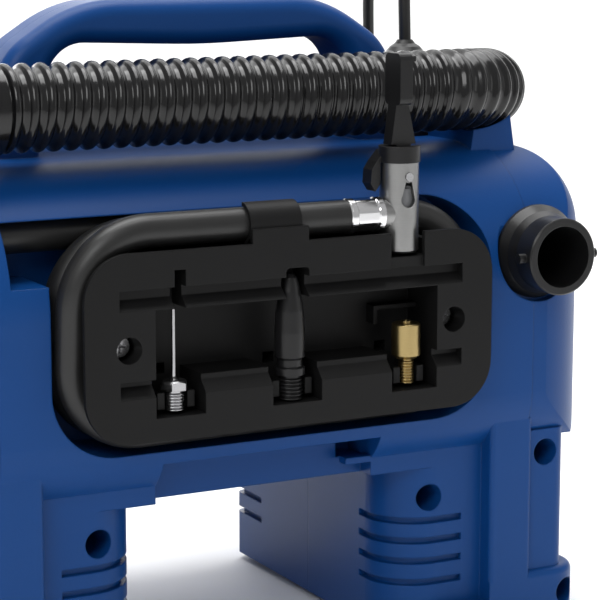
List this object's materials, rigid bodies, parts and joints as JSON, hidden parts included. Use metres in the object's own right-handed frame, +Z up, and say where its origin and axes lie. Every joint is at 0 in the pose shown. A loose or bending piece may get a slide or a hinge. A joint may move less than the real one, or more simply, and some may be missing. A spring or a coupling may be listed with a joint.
{
  "type": "portable air inflator",
  "caption": "Portable mains air inflator with two moulded legs, carry handle, stowed corrugated hose, wound pressure hose with lever chuck, and a rear accessory tray.",
  "frame": {"origin": "on the surface that the feet stand on, midway between the legs and midway from front to rear", "axes": "+X to the air port end, -Y to the hose and accessory side, +Y to the control side, +Z up"},
  "size_m": [0.3047, 0.247, 0.3017],
  "materials": {
    "body_blue": "satin moulded ABS",
    "tray_black": "fine matte moulded",
    "black_plastic": "satin moulded",
    "hose_rubber": "smooth matte rubber",
    "volume_hose_pvc": "glossy flexible PVC",
    "cord_pvc": "soft PVC jacket",
    "foot_rubber": "matte",
    "chuck_alloy": "satin die-cast",
    "chrome": "polished",
    "brass": "machined",
    "steel": "machined",
    "grey_plastic": "satin",
    "lens": "clear smoked",
    "board_green": "solder mask",
    "motor_steel": "zinc plated",
    "cylinder_alloy": "as cast",
    "nylon": "natural nylon",
    "key_grey": "satin"
  },
  "bodies": {
    "casing": {"rear_housing": "body_blue", "front_housing": "body_blue", "accessory_tray": "tray_black", "tray_screws": "steel", "case_screws": "steel", "pressure_hose": "hose_rubber", "hose_union": "brass", "hose_ferrule": "chrome", "chuck_body": "chuck_alloy", "chuck_pin": "steel", "chuck_seal": "foot_rubber", "chuck_cap": "black_plastic", "air_port": "black_plastic", "volume_hose": "volume_hose_pvc", "rear_cuff": "volume_hose_pvc", "front_cuff": "volume_hose_pvc", "rubber_feet": "foot_rubber", "cord_gland": "black_plastic", "strain_relief": "cord_pvc", "power_cord": "cord_pvc", "cord_coil": "cord_pvc", "plug_body": "cord_pvc", "plug_blades": "brass", "control_panel": "black_plastic", "display_lens": "lens", "display_module": "grey_plastic", "control_board": "board_green", "switch_frame": "black_plastic", "selector_switch": "grey_plastic", "gear_axle": "steel", "motor_can": "motor_steel", "compressor_frame": "cylinder_alloy", "cylinder": "cylinder_alloy", "cylinder_head": "cylinder_alloy", "outlet_tube": "nylon", "blower_housing": "black_plastic", "blower_cover": "black_plastic", "blower_motor": "motor_steel", "power_board": "board_green"},
    "lever": {"chuck_lever": "black_plastic"},
    "plunger": {"chuck_plunger": "grey_plastic"},
    "minus_key": {"minus_button": "key_grey"},
    "plus_key": {"plus_button": "key_grey"},
    "unit_key": {"unit_button": "key_grey"},
    "rocker": {"switch_rocker": "black_plastic"},
    "knob": {"selector_knob": "black_plastic"},
    "armature": {"pinion": "brass", "motor_shaft": "steel", "motor_rotor": "motor_steel", "motor_fan": "nylon"},
    "gear": {"drive_gear": "nylon"},
    "piston": {"piston_rod": "cylinder_alloy"},
    "fan_rotor": {"impeller": "black_plastic", "blower_shaft": "steel", "blower_rotor": "motor_steel"},
    "needle": {"ball_needle": "steel"},
    "nozzle": {"taper_nozzle": "black_plastic"},
    "adapter": {"valve_adapter": "brass"}
  },
  "joints": [
    {"name": "lever_swing", "type": "hinge", "parent": "casing", "child": "lever", "pos_m": [0.047, -0.081, 0.186], "axis": [0, 1, 0], "range_deg": [0, 90]},
    {"name": "plunger_slide", "type": "slide", "parent": "casing", "child": "plunger", "axis": [0, 0, 1], "range_m": [-0.0015, 0]},
    {"name": "minus_press", "type": "slide", "parent": "casing", "child": "minus_key", "axis": [0, -1, 0], "range_m": [0, 0.0012], "stiffness_N_per_m": 300},
    {"name": "plus_press", "type": "slide", "parent": "casing", "child": "plus_key", "axis": [0, -1, 0], "range_m": [0, 0.0012], "stiffness_N_per_m": 300},
    {"name": "unit_press", "type": "slide", "parent": "casing", "child": "unit_key", "axis": [0, -1, 0], "range_m": [0, 0.0012], "stiffness_N_per_m": 300},
    {"name": "rocker_tilt", "type": "hinge", "parent": "casing", "child": "rocker", "pos_m": [-0.074, 0.08, 0.1165], "axis": [1, 0, 0], "range_deg": [0, 12]},
    {"name": "knob_turn", "type": "hinge", "parent": "casing", "child": "knob", "pos_m": [0.071, 0.0815, 0.1165], "axis": [0, 1, 0], "range_deg": [-45, 45]},
    {"name": "armature_spin", "type": "hinge", "parent": "casing", "child": "armature", "pos_m": [-0.05, -0.008, 0.1192], "axis": [1, 0, 0], "continuous": true},
    {"name": "gear_spin", "type": "hinge", "parent": "casing", "child": "gear", "pos_m": [-0.104, -0.008, 0.148], "axis": [1, 0, 0], "continuous": true},
    {"name": "piston_slide", "type": "slide", "parent": "casing", "child": "piston", "axis": [0, 1, 0], "range_m": [-0.005, 0.005]},
    {"name": "fan_spin", "type": "hinge", "parent": "casing", "child": "fan_rotor", "pos_m": [0.1, 0.022, 0.1305], "axis": [1, 0, 0], "continuous": true},
    {"name": "needle_pull", "type": "slide", "parent": "casing", "child": "needle", "axis": [0, -1, 0], "range_m": [0, 0.04]},
    {"name": "nozzle_pull", "type": "slide", "parent": "casing", "child": "nozzle", "axis": [0, -1, 0], "range_m": [0, 0.04]},
    {"name": "adapter_pull", "type": "slide", "parent": "casing", "child": "adapter", "axis": [0, -1, 0], "range_m": [0, 0.04]}
  ],
  "couplings": [
    {"joint": "plunger_slide", "follows": "lever_swing", "m_per_rad": -0.00095493},
    {"joint": "gear_spin", "follows": "armature_spin", "ratio": -0.2}
  ]
}
